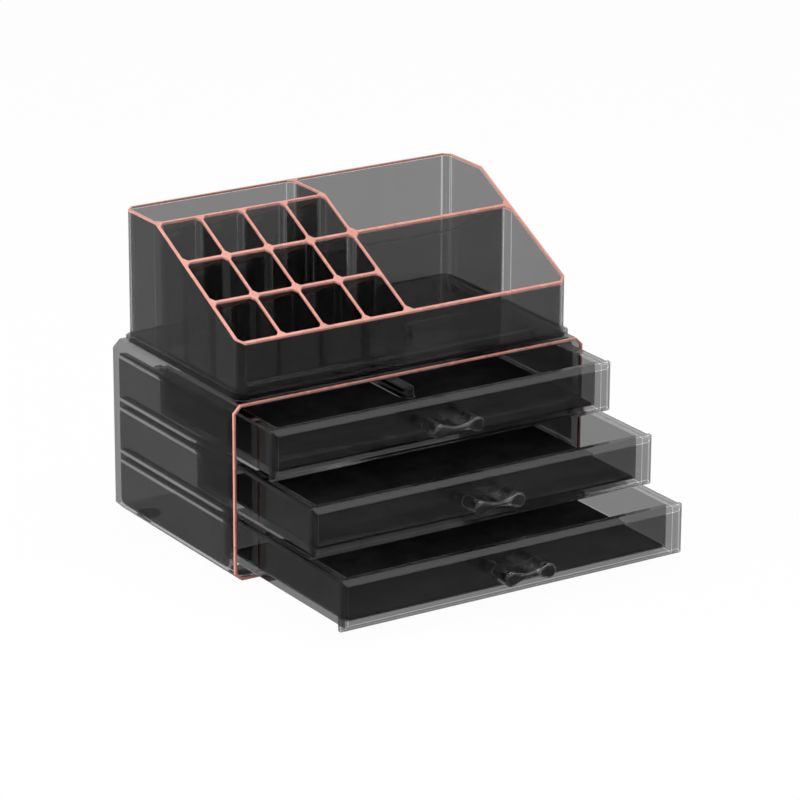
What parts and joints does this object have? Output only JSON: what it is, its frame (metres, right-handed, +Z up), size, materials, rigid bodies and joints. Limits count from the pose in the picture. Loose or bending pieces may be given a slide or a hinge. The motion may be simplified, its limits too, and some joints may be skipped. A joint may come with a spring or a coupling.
{
  "type": "makeup organizer",
  "caption": "Smoky transparent makeup organizer: a cabinet of sliding felt-lined drawers with twin-barrel pulls, under a lift-off sloped tray of lipstick cells with rose-gold edging.",
  "frame": {"origin": "on the table, under the middle of the cabinet's footprint", "axes": "+X to the right, +Y to the back, +Z up; the drawers open towards -Y"},
  "size_m": [0.24, 0.2654, 0.19],
  "materials": {
    "smoky_acrylic": "polished, transparent, smoky grey",
    "rose_gold": "rose-gold metallised edging",
    "black_felt": "matt black felt",
    "black_rubber": "matt"
  },
  "bodies": {
    "cabinet": {"cabinet_sleeve": "smoky_acrylic", "left_guide_panel": "smoky_acrylic", "right_guide_panel": "smoky_acrylic", "front_trim": "rose_gold", "foot_front_left": "black_rubber", "foot_front_right": "black_rubber", "foot_rear_left": "black_rubber", "foot_rear_right": "black_rubber"},
    "top_drawer": {"top_drawer_tray": "smoky_acrylic", "top_drawer_front": "smoky_acrylic", "top_drawer_pull": "smoky_acrylic", "top_drawer_liner": "black_felt", "top_drawer_divider": "smoky_acrylic"},
    "middle_drawer": {"middle_drawer_tray": "smoky_acrylic", "middle_drawer_front": "smoky_acrylic", "middle_drawer_pull": "smoky_acrylic", "middle_drawer_liner": "black_felt"},
    "bottom_drawer": {"bottom_drawer_tray": "smoky_acrylic", "bottom_drawer_front": "smoky_acrylic", "bottom_drawer_pull": "smoky_acrylic", "bottom_drawer_liner": "black_felt"},
    "cosmetics_tray": {"upper_tray": "smoky_acrylic", "tray_trim": "rose_gold"}
  },
  "joints": [
    {"name": "top_drawer_slide", "type": "slide", "parent": "cabinet", "child": "top_drawer", "axis": [0, -1, 0], "range_m": [-0.0391, 0.0779]},
    {"name": "middle_drawer_slide", "type": "slide", "parent": "cabinet", "child": "middle_drawer", "axis": [0, -1, 0], "range_m": [-0.0817, 0.0353]},
    {"name": "bottom_drawer_slide", "type": "slide", "parent": "cabinet", "child": "bottom_drawer", "axis": [0, -1, 0], "range_m": [-0.1129, 0.0041]},
    {"name": "upper_tray_lift", "type": "slide", "parent": "cabinet", "child": "cosmetics_tray", "axis": [0, 0, 1], "range_m": [0, 0.06]}
  ]
}
